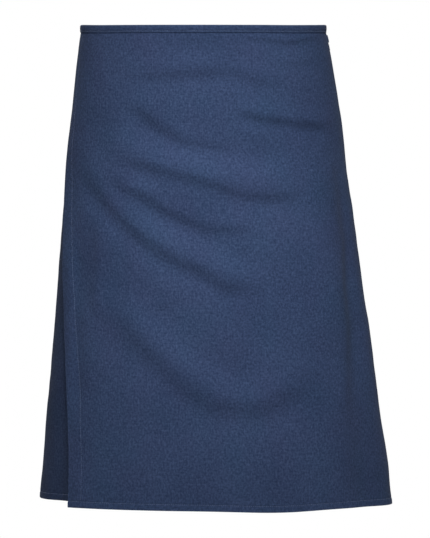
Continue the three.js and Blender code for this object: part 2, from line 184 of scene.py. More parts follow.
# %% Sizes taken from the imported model
BAND_HEIGHT = -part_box("waistband")[0].z / MM
LENGTH = -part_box("front_panel")[0].z / MM
CLOTH = 1.0
BAND_HALF = 1.6
WAIST_HALF_WIDTH = (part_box("waistband")[1].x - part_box("waistband")[0].x) / 2 / MM - BAND_HALF
WAIST_HALF_DEPTH = -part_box("waistband")[0].y / MM - BAND_HALF
HEM_HALF_WIDTH = 257.5
HEM_HALF_DEPTH = 174.0
HEM_SHIFT_X = 17.4
HEM_SHIFT_Y = -8.0
HIP_FULLNESS = 4.6
HIP_FALL = 0.06
BACK_RISE = 8.0
WAIST_DIP = 2.8
HEM_RISE = 3.0
HEM_LOWEST = 21                  # the angle at which the hem is lowest
WAIST_LAYER_GAP = 4.4
HEM_LAYER_GAP = 7.0
SPIRAL = (150, 264)              # the outer layer becomes the under layer between these angles
RIGHT_SEAM = 90
LEFT_SEAM = 270
WRAP_START = -90
WRAP_END = 348
EDGE_DRIFT = 33.5                # degrees that the front's free edge has drifted at the hem
SIDE_HEM = 25
BOTTOM_HEM = 9
END_HEM = 12
SEAM_ROWS = (3, 9)
THREAD_LIFT = 0.15
FLUTES = (                       # angle, width, how far out at the hem, and where down the fall it begins
    (60, 9, -6, 0.15), (80, 10, 3, 0.3), (112, 10, -6, 0.1), (133, 10, 9, 0.1), (155, 10, -9, 0.12),
    (177, 10, 10, 0.12), (199, 10, -9, 0.12), (221, 10, 9, 0.1), (243, 9, -7, 0.1), (262, 8, 4, 0.2),
    (295, 7, -5, 0.2),
)
print("length", round(LENGTH, 1), "mm")
print("waist", round(2 * WAIST_HALF_WIDTH, 1), "by", round(2 * WAIST_HALF_DEPTH, 1), "mm")


# %% The surface itself
def smooth_step(value, low, high):
    """0 below low, 1 above high, and a soft rise between."""
    share = np.clip((value - low) / (high - low), 0, 1)
    return share * share * (3 - 2 * share)


def mix(low, high, share):
    """A value between low and high."""
    return low + (high - low) * share


def fall_at(depth):
    """0 down to the waistband's lower edge, 1 at the hem."""
    return np.maximum(0, depth - BAND_HEIGHT) / (LENGTH - BAND_HEIGHT)


def front_sag(angle, depth):
    """A tied waist dips a little in front, and the hem below it is lowest right of the middle."""
    frontal = smooth_step(np.cos(np.radians(angle)), -0.1, 1.0)
    dip = WAIST_DIP * (1 - smooth_step(depth, 0, 160))
    turned = np.mod(angle + 180, 360) - 180
    rise = HEM_RISE * (1 - np.exp(-((turned - HEM_LOWEST) / 16) ** 2)) * smooth_step(depth, 420, LENGTH)
    return frontal * (dip - rise)


def wrap(angle, depth, lift=0.0):
    """Places on the wrapped surface, in millimetres."""
    angle, depth = np.broadcast_arrays(np.asarray(angle, float), np.asarray(depth, float))
    fall = fall_at(depth)
    hip = HIP_FULLNESS * (1 - np.exp(-fall / HIP_FALL))
    half_width = mix(WAIST_HALF_WIDTH, HEM_HALF_WIDTH - HIP_FULLNESS, fall) + hip
    half_depth = mix(WAIST_HALF_DEPTH, HEM_HALF_DEPTH, fall)
    side, front = np.sin(np.radians(angle)), -np.cos(np.radians(angle))
    normal = np.stack([side / half_width, front / half_depth], -1)
    normal /= np.linalg.norm(normal, axis=-1, keepdims=True)
    out = lift - mix(WAIST_LAYER_GAP, HEM_LAYER_GAP, fall) * smooth_step(angle, *SPIRAL)
    for at, width, height, begins in FLUTES:
        out = out + height * np.exp(-((angle - at) / width) ** 2) * smooth_step(fall, begins, 1.15)
    x = HEM_SHIFT_X * fall + half_width * side + normal[..., 0] * out
    y = HEM_SHIFT_Y * fall + half_depth * front + normal[..., 1] * out
    return np.stack([x, y, -depth - front_sag(angle, depth)], -1)


def degrees_for(length, angle, depth):
    """Degrees that cover a length measured round the surface."""
    chord = np.linalg.norm(wrap(angle + 0.25, depth) - wrap(np.asarray(angle) - 0.25, depth), axis=-1)
    return length * 0.5 / chord


def hem_depth(angle):
    """The back and the under layer hang a little shorter."""
    return LENGTH - BACK_RISE * smooth_step(angle, 100, 262)


def free_edge(depth):
    """The front's free edge: upright at the side, drifting to the front as it goes down."""
    return WRAP_START + EDGE_DRIFT * smooth_step(np.asarray(depth) / LENGTH, 0, 1)


print("waist point", wrap(0, 0).round(1), "hem point", wrap(0, LENGTH).round(1))

# %% [markdown]
# ## How the cloth hangs
# Heavy twill doesn't fall in sharp creases. Drag lines run from the tied waist and the left hip
# across the front: each is a soft ridge with a hollow under it, so one side turns from the light.
# They are drawn here as short lines on the front, seen from the front, each with a height and a
# width. Simulation would give folds too, but not these ones in these places.

# %% Drag lines of the front
# Points are (across, down) in millimetres; after them come a line's height and its width.
SHADED = (                       # the cloth steps in below these lines, so the light leaves it there
    (((50, 16), (97, 22), (123, 26), (149, 21), (176, 19)), 1.6, 7),
    (((105, 56), (134, 58), (158, 54)), 0.7, 7),
    (((-118, 76), (-31, 73), (39, 68), (79, 84), (130, 92)), 2.1, 14),
    (((38, 122), (79, 137), (116, 142), (171, 150), (192, 158)), 3.2, 11),
    (((-125, 112), (-86, 131), (-64, 150), (-27, 172), (50, 185)), 1.8, 12),
    (((-130, 196), (-86, 203), (-49, 214), (24, 236), (61, 249), (97, 252), (160, 250)), 2.3, 13),
    (((-160, 212), (-122, 234), (-86, 249), (-56, 271), (-23, 285), (6, 296), (61, 297),
      (95, 322)), 1.9, 12),
    (((-186, 195), (-159, 234), (-133, 267), (-100, 300), (-67, 326), (-31, 346), (2, 359), (31, 380),
      (95, 388)), 3.3, 15),
    (((-145, 400), (-100, 450), (-78, 472), (-49, 501), (-20, 527), (15, 549), (85, 552), (135, 530),
      (165, 490)), 3.6, 24),
    (((-152, 270), (-162, 430)), 2.2, 13),
    (((206, 600), (211, 498), (211, 439), (204, 384), (207, 315), (198, 250), (190, 170)), 2.5, 12),
)
LIT = (                          # and here it steps out and catches the light
    (((-136, 134), (-102, 164), (-45, 190), (24, 203), (79, 208), (150, 212)), 5.3, 24),
    (((-115, 222), (-60, 238)), 1.2, 12),
    (((-115, 262), (-78, 285), (-31, 307), (6, 326), (61, 352), (100, 357)), 3.1, 18),
    (((-90, 375), (-88, 420), (-60, 450), (-12, 492), (60, 528), (110, 520)), 3.4, 26),
    (((-188, 270), (-188, 600)), 2.0, 9),
    (((-60, 45), (30, 42)), 1.2, 16),
)
UPRIGHT = (                      # angle, width, how far out, and depths: where it begins, is full, ends
    (50, 13, 5.0, 110, 300, 660),
    (67, 8, -4.5, 130, 320, 660),
    (80, 8, 0.6, 300, 430, 760),
)
HEM_DROOP = 3.0                  # the lowest hand's breadth of the front leans in by this much
LEFT_HIP = 4.5                   # and the left side stands out a little below the hip


def crease(across, down, points, height, width):
    """A ridge on one side of a line and a hollow on the other."""
    best = np.full(across.shape, 1e9)
    signed = np.zeros(across.shape)
    along = np.zeros(across.shape)
    lengths = [math.dist(a, b) for a, b in zip(points, points[1:])]
    run = 0.0
    for (ax, ad), (bx, bd), length in zip(points, points[1:], lengths):
        dx, dd = (bx - ax) / length, (bd - ad) / length
        step = np.clip((across - ax) * dx + (down - ad) * dd, 0, length)
        gap = np.hypot(across - ax - step * dx, down - ad - step * dd)
        side = dx * (down - ad) - dd * (across - ax)
        nearer = gap < best
        best = np.where(nearer, gap, best)
        signed = np.where(nearer, side, signed)
        along = np.where(nearer, run + step, along)
        run += length
    share = along / run
    taper = smooth_step(share, 0, 0.22) * smooth_step(-share, -1, -0.78)
    reach = best / width
    return -height * taper * np.tanh(signed / width) * np.exp(0.5 - 0.5 * reach * reach)


def ripples(place, seed, shortest, longest, height, count=26):
    """Small uneven waves, the sum of many weak ones in all directions."""
    chance = np.random.default_rng(seed)
    total = np.zeros(np.shape(place)[:-1])
    for _ in range(count):
        length = shortest * (longest / shortest) ** chance.random()
        way = chance.normal(size=3)
        way /= np.linalg.norm(way)
        turn = (place @ way) / length * math.tau + chance.random() * math.tau
        total += np.sin(turn) * height * length / longest
    return total / math.sqrt(count)


def uneven(along, seed, shortest=20, longest=90):
    """The same along a line."""
    along = np.asarray(along, float)
    return ripples(np.stack([along, along * 0.7, along * 0.5], -1), seed, shortest, longest, 1.0)


def drape(angle, depth):
    """How far the cloth stands out from the plain wrapped surface, in millimetres."""
    place = wrap(angle, depth)
    across, down = place[..., 0], np.asarray(depth, float)
    out = np.zeros(np.shape(across))
    for points, height, width in SHADED:
        out += crease(across, down, points, height, width)
    for points, height, width in LIT:
        out += crease(across, down, points, -height, width)
    out -= HEM_DROOP * smooth_step(depth, 580, 710)
    frontal = smooth_step(np.cos(np.radians(angle)), 0.0, 0.35)
    out = out * frontal * smooth_step(depth, BAND_HEIGHT - 2, BAND_HEIGHT + 14)
    held = smooth_step(depth, BAND_HEIGHT, BAND_HEIGHT + 45)
    small = ripples(place, 4, 60, 170, 1.2) + ripples(place, 9, 18, 42, 0.2)
    turned = np.mod(np.asarray(angle) - LEFT_SEAM + 180, 360) - 180
    for at, width, height, begins, full, ends in UPRIGHT:
        lasting = smooth_step(depth, begins, full) * smooth_step(-depth, -ends, -full)
        out += height * np.exp(-((angle - at) / width) ** 2) * lasting
    hip = LEFT_HIP * np.exp(-((turned - 2) / 15) ** 2) * smooth_step(depth, 130, 290)
    return out + held * small + hip


print("shaded lines", len(SHADED), "lit lines", len(LIT))

# %% [markdown]
# ## The three panels
# The back is sewn to the front at the right side and to the under panel at the left. In each seam
# one edge lies over the other and two rows of stitching hold it flat. In the right seam a slit just
# below the waistband is left open for the inner tie.

# %% Panel edges
PANEL_TOP = 1.2
SEAM_LAP = 11
SLIT_TOP = BAND_HEIGHT + 2
SLIT_BOTTOM = SLIT_TOP + 14
SLIT_HALF = 2.6


def slit(depth):
    """1 inside the slit and 0 above and below it."""
    below_top = smooth_step(depth, SLIT_TOP - 1.2, SLIT_TOP)
    above_bottom = smooth_step(-depth, -SLIT_BOTTOM - 1.2, -SLIT_BOTTOM)
    return below_top * above_bottom


def front_finish(depth):
    """The front's sewn edge, drawn back where the slit is open."""
    return RIGHT_SEAM - degrees_for(SLIT_HALF, RIGHT_SEAM, depth) * slit(depth)


def back_start(depth):
    """The back's edge, tucked under the front's and drawn back at the slit."""
    tucked = RIGHT_SEAM - degrees_for(SEAM_LAP, RIGHT_SEAM, depth)
    return mix(tucked, RIGHT_SEAM + degrees_for(SLIT_HALF, RIGHT_SEAM, depth), slit(depth))


def under_start(depth):
    """The under panel's edge, tucked under the back's."""
    return LEFT_SEAM - degrees_for(SEAM_LAP, LEFT_SEAM, depth)


def steady(angle):
    """An edge that stays at one angle all the way down."""
    return lambda depth: np.asarray(depth) * 0 + float(angle)


PANELS = {                       # fine_columns: near which place, how widely, and how close the columns lie
    "front": {
        "start": free_edge, "finish": front_finish, "middle": 0,
        "start_hem": SIDE_HEM, "felled": True,
        "fine_columns": lambda width: [(12, 18, 2.0), (width, 12, 1.6)],
    },
    "back": {
        "start": back_start, "finish": steady(LEFT_SEAM), "middle": 180,
        "tucked": True, "felled": True,
        "fine_columns": lambda width: [(0, 14, 2.2), (width, 12, 1.6)],
    },
    "under": {
        "start": under_start, "finish": steady(WRAP_END), "middle": 310,
        "finish_hem": END_HEM, "tucked": True,
        "fine_columns": lambda width: [(0, 14, 2.2), (width, 12, 1.8)],
    },
}
print("panels", list(PANELS), "and a slit from", SLIT_TOP, "to", SLIT_BOTTOM, "mm down")

# %% [markdown]
# ## Cloth panels
# Each panel starts as a flat grid. Its columns run round the wearer and its rows go down, and they
# lie closer where a hem or a seam needs them. The grid is then laid on the surface, given the
# cloth's thickness on its inner side, and made three layers thick along its hems, where the edge
# is turned in twice. A stitched line sinks a little and the cloth beside it puckers.

# %% Grid helpers
CELL = 3.6                       # ordinary spacing of the cloth's grid


def spacing(length, spots):
    """Places from 0 to length, closer together near the given spots."""
    fine = np.linspace(0, length, 2000)
    density = np.full(fine.shape, 1 / CELL)
    for spot, width, closest in spots:
        density += (1 / closest - 1 / CELL) * np.exp(-((fine - spot) / width) ** 4)
    total = np.concatenate([[0], np.cumsum((density[1:] + density[:-1]) / 2 * np.diff(fine))])
    count = int(round(total[-1]))
    return np.interp(np.linspace(0, total[-1], count + 1), total, fine)


def flat_grid(name, columns, rows):
    """A grid primitive, and for each corner its column and row number."""
    bpy.ops.object.select_all(action="DESELECT")
    bpy.ops.mesh.primitive_grid_add(x_subdivisions=columns, y_subdivisions=rows, size=2)
    piece = bpy.context.object
    piece.name = name
    piece.data.name = name
    places = np.zeros(len(piece.data.vertices) * 3)
    piece.data.vertices.foreach_get("co", places)
    places = places.reshape(-1, 3)
    column = np.rint((places[:, 0] + 1) / 2 * columns).astype(int)
    row = np.rint((1 - places[:, 1]) / 2 * rows).astype(int)
    return piece, column, row


def set_places(piece, places):
    """Puts the corners of a mesh at places in millimetres."""
    piece.data.vertices.foreach_set("co", (places * MM).ravel())
    piece.data.update()


def set_uv(piece, u, v, name="UVMap"):
    """A UV map in metres, so that a weave keeps its real scale."""
    layer = piece.data.uv_layers.get(name) or piece.data.uv_layers.new(name=name)
    corner = np.zeros(len(piece.data.loops), np.int32)
    piece.data.loops.foreach_get("vertex_index", corner)
    layer.data.foreach_set("uv", np.stack([u[corner], v[corner]], -1).ravel())


def only(piece):
    """Makes a piece the one that the next operator works on."""
    bpy.ops.object.select_all(action="DESELECT")
    piece.select_set(True)
    bpy.context.view_layer.objects.active = piece


def thicken(piece, thickness, group=None, thin_share=1.0):
    """Gives a sheet its thickness on the inner side, less of it outside a vertex group."""
    only(piece)
    wall = piece.modifiers.new("thickness", "SOLIDIFY")
    wall.thickness = thickness * MM
    wall.offset = -1
    wall.use_even_offset = False
    if group:
        wall.vertex_group = group
        wall.thickness_vertex_group = thin_share
    bpy.ops.object.modifier_apply(modifier=wall.name)
    bpy.ops.object.shade_smooth_by_angle(angle=math.radians(50))


def area_of(piece):
    """Area of a sheet before it is thickened, in square metres."""
    return sum(face.area for face in piece.data.polygons)


print("columns near a hem", spacing(40, [(0, 14, 2.0)])[:5].round(1), "mm")

# %% Hems, seams and their puckers
CLOTH_THICKNESS = 0.85
HEM_THICKNESS = 2.3
PUCKER_LENGTH = 11
print("cloth", CLOTH_THICKNESS, "mm, hem", HEM_THICKNESS, "mm")


def stitched(distance, at, along, seed):
    """A sunk stitch line at a distance from an edge, a fuller hem outside it, and puckers."""
    line = np.exp(-((distance - at) / 1.2) ** 2)
    near = np.exp(-((distance - at) / 6.0) ** 2)
    hem = smooth_step(-distance, -at - 0.5, -at + 2.5) * smooth_step(distance, 0, 2)
    pucker = np.sin(along / PUCKER_LENGTH * math.tau + 2.2 * uneven(along, seed))
    return -0.4 * line + 0.32 * hem + 0.3 * near * pucker


def arc_lengths(angles, depths):
    """Length round the cloth from the first column, for each place of a grid."""
    places = wrap(angles, depths)
    steps = np.linalg.norm(np.diff(places, axis=0), axis=-1)
    return np.concatenate([np.zeros((1, places.shape[1])), np.cumsum(steps, axis=0)])


def panel_outline(panel):
    """The panel's two upright edges, as functions of depth."""
    return PANELS[panel]["start"], PANELS[panel]["finish"]


def surface_out(panel, angle, depth):
    """How far a panel's outer face stands out, with its hems and seams."""
    start, finish = panel_outline(panel)
    from_start = (angle - start(depth)) / degrees_for(1.0, angle, depth)
    from_finish = (finish(depth) - angle) / degrees_for(1.0, angle, depth)
    from_hem = hem_depth(angle) - depth
    along = np.radians(angle) * 200
    out = drape(angle, depth) + CLOTH / 2
    out = out + stitched(from_hem, BOTTOM_HEM, along, 21)
    for edge, distance in (("start_hem", from_start), ("finish_hem", from_finish)):
        width = PANELS[panel].get(edge)
        if width:
            out = out + stitched(distance, width, depth, 33)
    if PANELS[panel].get("tucked"):
        out = out - 1.9 * smooth_step(-from_start, -SEAM_LAP - 3, -SEAM_LAP + 1)
    if PANELS[panel].get("felled"):
        flat = smooth_step(-from_finish, -SEAM_LAP - 1.5, -SEAM_LAP)
        rows = sum(np.exp(-((from_finish - row) / 1.0) ** 2) for row in SEAM_ROWS)
        out = out + 0.55 * flat - 0.35 * rows
    return out


# %% Panel builder
def hem_width(panel):
    """Length of a panel's hem."""
    start, finish = panel_outline(panel)
    angles = np.linspace(start(LENGTH), finish(LENGTH), 200)[:, None]
    return float(arc_lengths(angles, np.full(angles.shape, LENGTH))[-1, 0])


def panel_grid(panel, width):
    """Angles and depths of a panel's corners, by column and row."""
    start, finish = panel_outline(panel)
    across = spacing(width, PANELS[panel]["fine_columns"](width)) / width
    fall = LENGTH - PANEL_TOP
    down = PANEL_TOP + spacing(fall, [(0, 30, 2.0), (fall - 6, 12, 1.5)])
    share = (down - PANEL_TOP) / fall
    angles = start(down)[None, :] + (finish(down) - start(down))[None, :] * across[:, None]
    depths = PANEL_TOP + share[None, :] * (hem_depth(angles) - PANEL_TOP)
    return angles, depths


def from_edges(panel, angle, depth):
    """Which corners lie in a turned hem, and how far each one is from the nearest hemmed edge."""
    start, finish = panel_outline(panel)
    nearest = hem_depth(angle) - depth
    turned = nearest < BOTTOM_HEM + 1
    for edge, degrees in (("start_hem", angle - start(depth)), ("finish_hem", finish(depth) - angle)):
        hem = PANELS[panel].get(edge)
        if hem:
            distance = degrees / degrees_for(1.0, angle, depth)
            turned |= distance < hem + 1
            nearest = np.minimum(nearest, distance)
    return turned, nearest


def cloth_panel(name, panel):
    """One panel, from its two edges and the waistband down to its hem."""
    width = hem_width(panel)
    angles, depths = panel_grid(panel, width)
    arcs = arc_lengths(angles, depths)
    middle = PANELS[panel]["middle"]
    centre = np.array([np.interp(middle, angles[:, k], arcs[:, k]) for k in range(angles.shape[1])])
    piece, column, row = flat_grid(name, angles.shape[0] - 1, angles.shape[1] - 1)
    angle, depth = angles[column, row], depths[column, row]
    set_places(piece, wrap(angle, depth, surface_out(panel, angle, depth)))
    set_uv(piece, (arcs - centre[None, :])[column, row] * MM, -depth * MM)
    turned, nearest = from_edges(panel, angle, depth)
    set_uv(piece, nearest * MM, -depth * MM, "Edges")
    area = area_of(piece)
    hem = piece.vertex_groups.new(name="hem")
    hem.add(np.flatnonzero(turned).tolist(), 1.0, "REPLACE")
    thicken(piece, HEM_THICKNESS, group="hem", thin_share=CLOTH_THICKNESS / HEM_THICKNESS)
    print(name, "grid", angles.shape, "area", round(area, 4), "m2, hem", round(width), "mm wide")
    return piece, area, width


# %% Lay the panels
front_cloth, front_area, front_width = cloth_panel("front_cloth", "front")
back_cloth, back_area, back_width = cloth_panel("back_cloth", "back")
under_cloth, under_area, under_width = cloth_panel("under_cloth", "under")

# %% [markdown]
# ## Waistband
# A strip of the same twill is folded lengthwise over the top edge of all the panels, and one row of
# stitching near its lower edge goes through both of its legs.

# %% Fold the band over the edge
BAND_WALL = 0.85
BAND_STITCH = BAND_HEIGHT - 2


def band_profile(steps):
    """The strip's outer face, from the outer leg's lower edge over the top to the inner leg's."""
    side = BAND_HEIGHT - BAND_HALF
    length = 2 * side + math.pi * BAND_HALF
    way = np.linspace(0, length, steps + 1)
    turn = np.clip((way - side) / BAND_HALF, 0, math.pi)
    out = BAND_HALF * np.cos(turn)
    depth = np.where(way < side, BAND_HEIGHT - way, BAND_HALF - BAND_HALF * np.sin(turn))
    depth = np.where(way > length - side, BAND_HALF + way - (length - side), depth)
    return out, depth, way, length


def fold_band():
    """The whole band, once round and on under the front."""
    profile_steps = 34
    out, depth, way, length = band_profile(profile_steps)
    run = WRAP_END - WRAP_START
    columns = int(run / 0.85)
    piece, column, row = flat_grid("waistband_strip", columns, profile_steps)
    row = profile_steps - row
    angle = WRAP_START + run * column / columns
    along = np.radians(angle) * 150
    lie, lift = depth[row], out[row]
    outward = np.sign(lift) * smooth_step(np.abs(lift), 0.4, 1.5)
    sunk = np.exp(-((lie - BAND_STITCH) / 0.9) ** 2)
    pucker = np.sin(along / 9 * math.tau + 2 * uneven(along, 5))
    puff = np.exp(-((lie - 5) / 3.0) ** 2) * 0.3 - 0.35 * sunk + 0.13 * pucker * smooth_step(lie, 2, 7)
    wave = 0.22 * uneven(along, 8, 60, 200)
    set_places(piece, wrap(angle, lie + wave, lift + outward * puff))
    set_uv(piece, along * MM, way[row] * MM)
    set_uv(piece, (lie + 0.6) * MM, -lie * MM, "Edges")
    area = area_of(piece)
    thicken(piece, BAND_WALL)
    print("waistband strip", round(length, 1), "mm wide, area", round(area, 5))
    return piece, area, length * MM


band, band_area, band_width = fold_band()

# %% [markdown]
# ## Ties and bow
# Each tie is a strip of twill folded to the waistband's height and stitched along one edge. The
# outer one goes back round the left side. The inner one runs behind the front, comes out through
# the slit and goes round the right side. A single strip makes strap, loop and tail on each side,
# and the knot hides where they cross.

# %% Routes of the two straps
TIE_WIDTH = 11
TIE_THICKNESS = 1.4
OVER_STITCHES = 2.7
TIE_SEAT = OVER_STITCHES + TIE_THICKNESS / 2
TIE_IN_KNOT = OVER_STITCHES + 2.4
KNOT_DEPTH = -(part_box("bow_knot")[0].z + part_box("bow_knot")[1].z) / 2 / MM
KNOT_HALF_WIDTH = (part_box("bow_knot")[1].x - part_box("bow_knot")[0].x) / 2 / MM
KNOT_HALF_HEIGHT = (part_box("bow_knot")[1].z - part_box("bow_knot")[0].z) / 2 / MM
KNOT_REACH = float(degrees_for(KNOT_HALF_WIDTH - 1.5, 180, KNOT_DEPTH))
print("knot", round(2 * KNOT_HALF_WIDTH, 1), "mm wide, middle", round(KNOT_DEPTH, 1), "mm down")


def layer_out(angle):
    """How far in the cloth lies at the waist, where the outer layer turns into the under layer."""
    return -WAIST_LAYER_GAP * smooth_step(angle, *SPIRAL)


def left_route(share):
    """From the knot round the left side to the outer end of the waistband."""
    end = 180 + KNOT_REACH
    angle = mix(end, 270.0, share)
    seat = mix(TIE_SEAT, -layer_out(angle), smooth_step(angle, 215, 262))
    lift = mix(TIE_IN_KNOT, seat, smooth_step(angle, end, end + 9))
    return angle, mix(KNOT_DEPTH, BAND_HEIGHT / 2, smooth_step(share, 0, 0.4)), lift


def right_route(share):
    """From the inner end behind the front, out through the slit and on to the knot."""
    start, end = WRAP_END - 360.0, 180 - KNOT_REACH
    middle = (SLIT_TOP + SLIT_BOTTOM) / 2
    beside = CLOTH / 2 + 0.8 + TIE_THICKNESS / 2
    crossing = float(degrees_for(2, RIGHT_SEAM, middle))
    nearby = float(degrees_for(24, RIGHT_SEAM, middle))
    before, after = RIGHT_SEAM - crossing, RIGHT_SEAM + crossing
    fine = np.linspace(0, 1, 400)
    speed = 1 / (1 + 9 * np.exp(-((mix(start, end, fine) - RIGHT_SEAM) / 5) ** 2))
    travelled = np.cumsum(speed) - speed[0]
    angle = np.interp(share, fine, mix(start, end, travelled / travelled[-1]))
    inner = -mix(WAIST_LAYER_GAP, beside, smooth_step(angle, before - nearby, before))
    outer = mix(beside, TIE_SEAT, smooth_step(angle, after, after + nearby))
    outer = mix(outer, TIE_IN_KNOT, smooth_step(angle, end - 9, end))
    lift = mix(inner, outer, np.clip((angle - before) / (after - before), 0, 1))
    sink = smooth_step(angle, start + 10, before - nearby / 2)
    rise = smooth_step(angle, after + nearby / 2, 165)
    depth = mix(BAND_HEIGHT / 2, middle, sink)
    return angle, mix(depth, KNOT_DEPTH, rise), lift


# %% Tape helper
def tape(name, steps, place, length):
    """A folded tape. place(share, across, out) gives points for shares of its length, with
    across from -1 to 1 over its width and out in millimetres from its middle."""
    lanes = 10
    piece, column, row = flat_grid(name, steps, lanes)
    share = column / steps
    across = 1 - 2 * row / lanes
    edge = np.sqrt(np.clip(1 - np.abs(across) ** 7, 0, 1))
    along = share * length
    sunk = np.exp(-((across + 0.62) / 0.12) ** 2)
    wave = 0.12 * np.sin(along / 8 * math.tau + 2 * uneven(along, 12))
    out = (TIE_THICKNESS / 2 - 0.1) * edge - 0.22 * sunk + wave * np.exp(-((across + 0.6) / 0.4) ** 2)
    set_places(piece, place(share, across, out))
    set_uv(piece, along * MM, across * TIE_WIDTH / 2 * MM)
    set_uv(piece, (1 - np.abs(across)) * TIE_WIDTH / 2 * MM, along * MM, "Edges")
    area = area_of(piece)
    thicken(piece, TIE_THICKNESS * 0.8)
    print(name, "length", round(length), "mm, area", round(area, 5))
    return piece, area


def route_length(route):
    """Length of a strap's route, in millimetres."""
    angle, depth, lift = route(np.linspace(0, 1, 300))
    return float(np.linalg.norm(np.diff(wrap(angle, depth, lift), axis=0), axis=-1).sum())


def strap(name, route, steps):
    """A tie's strap, laid flat round the waist."""
    def place(share, across, out):
        angle, depth, lift = route(share)
        return wrap(angle, depth - across * TIE_WIDTH / 2, lift + out)

    return tape(name, steps, place, route_length(route))


left_strap, left_strap_area = strap("tie_left_strap", left_route, 110)
right_strap, right_strap_area = strap("tie_right_strap", right_route, 220)

# %% Loops and tails of the bow
LOOP_LENGTH = 74
LOOP_OPENING = 12
LOOP_DROOP = math.radians(34)
LEFT_TAIL, RIGHT_TAIL = 205, 238
TAIL_GAP = 0.9
TAIL_SPLAY = 0.016


def smooth_path(points, shares):
    """A smooth curve through points, at shares of its length."""
    points = np.array(points, float)
    fine = np.linspace(0, len(points) - 1, 400)
    index = np.clip(fine.astype(int), 0, len(points) - 2)
    t = (fine - index)[:, None]
    padded = np.vstack([2 * points[0] - points[1], points, 2 * points[-1] - points[-2]])
    p0, p1, p2, p3 = (padded[index + k] for k in range(4))
    curve = 0.5 * (2 * p1 + (p2 - p0) * t + (2 * p0 - 5 * p1 + 4 * p2 - p3) * t ** 2
                   + (3 * p1 - p0 - 3 * p2 + p3) * t ** 3)
    run = np.concatenate([[0], np.cumsum(np.linalg.norm(np.diff(curve, axis=0), axis=1))])
    picked = np.stack([np.interp(shares * run[-1], run, curve[:, k]) for k in range(2)], -1)
    return picked, run[-1]


def bow_loop(name, side, reach, opening):
    """The tape goes out along the droop line, turns and comes back outside itself."""
    start = 7.5
    inner = OVER_STITCHES + 4.9
    points = [
        (start, inner), (reach * 0.4, inner - 1.2), (reach * 0.78, inner - 0.6),
        (reach, inner + opening * 0.45), (reach * 0.8, inner + opening),
        (reach * 0.42, inner + opening * 0.72), (start, inner + 2.6),
    ]
    length = smooth_path(points, np.array([1.0]))[1]
    centre = wrap(180, KNOT_DEPTH)

    def place(share, across, out):
        at, _ = smooth_path(points, share)
        ahead, _ = smooth_path(points, np.clip(share + 0.004, 0, 1))
        behind, _ = smooth_path(points, np.clip(share - 0.004, 0, 1))
        way = (ahead - behind) / np.linalg.norm(ahead - behind, axis=1, keepdims=True)
        far = at[:, 0] + side * way[:, 1] * out
        lift = at[:, 1] - side * way[:, 0] * out
        gather = 0.62 + 0.38 * smooth_step(at[:, 0], start, start + 26)
        rise = across * TIE_WIDTH / 2 * gather
        droop = LOOP_DROOP + 0.10 * smooth_step(at[:, 0], 20, reach)
        return np.stack([
            centre[0] + side * (far * np.cos(droop) + rise * np.sin(droop)),
            centre[1] + lift,
            centre[2] - far * np.sin(droop) + rise * np.cos(droop),
        ], -1)

    return tape(name, 90, place, length)


def bow_tail(name, side, length, twist):
    """A tail hangs from the knot and rests on the back panel."""
    top = KNOT_DEPTH + KNOT_HALF_HEIGHT - 2
    rest = CLOTH / 2 + 1.2 + TIE_THICKNESS / 2
    spread = float(degrees_for((TIE_WIDTH + TAIL_GAP) / 2, 180, top))

    def place(share, across, out):
        depth = mix(top + length, top, share)
        below = depth - top
        angle = 180 + side * (spread + TAIL_SPLAY * below) + 0.25 * np.sin(below / 45 + twist)
        seat = rest + drape(angle, depth) * 0.6
        lift = mix(TIE_SEAT + 0.3, seat, smooth_step(depth, top, top + 45))
        lift = lift + 0.9 * (1 - np.cos(below / 58 * math.tau + twist)) / 2 * smooth_step(below, 10, 60)
        hem = 0.5 * smooth_step(-share, -0.045, -0.04)
        turn = across * (0.55 + 0.45 * smooth_step(below, 0, 22)) * degrees_for(TIE_WIDTH / 2, angle, depth)
        tilt = 0.7 * across * np.sin(below / 80 + twist)
        return wrap(angle - turn, depth, lift + tilt + out + hem)

    return tape(name, int(length / 1.8), place, length)


left_loop, left_loop_area = bow_loop("bow_left_loop", -1, LOOP_LENGTH, LOOP_OPENING)
right_loop, right_loop_area = bow_loop("bow_right_loop", 1, 0.97 * LOOP_LENGTH, 0.9 * LOOP_OPENING)
left_tail, left_tail_area = bow_tail("bow_left_tail", 1, LEFT_TAIL, 0.4)
right_tail, right_tail_area = bow_tail("bow_right_tail", -1, RIGHT_TAIL, 2.1)


# %% [markdown]
# ## The knot
# The knot is the same tape pulled round itself, so it is a small firm bundle, pinched at its sides
# and creased from top to bottom. A cube is bevelled and subdivided for a rounded block, and its
# corners are then moved to give the creases.

# %% Tie the knot
KNOT_FOLD = 0.45                 # height of the folds on the knot's face
KNOT_PINCH = 0.10                # how much narrower it is at half height


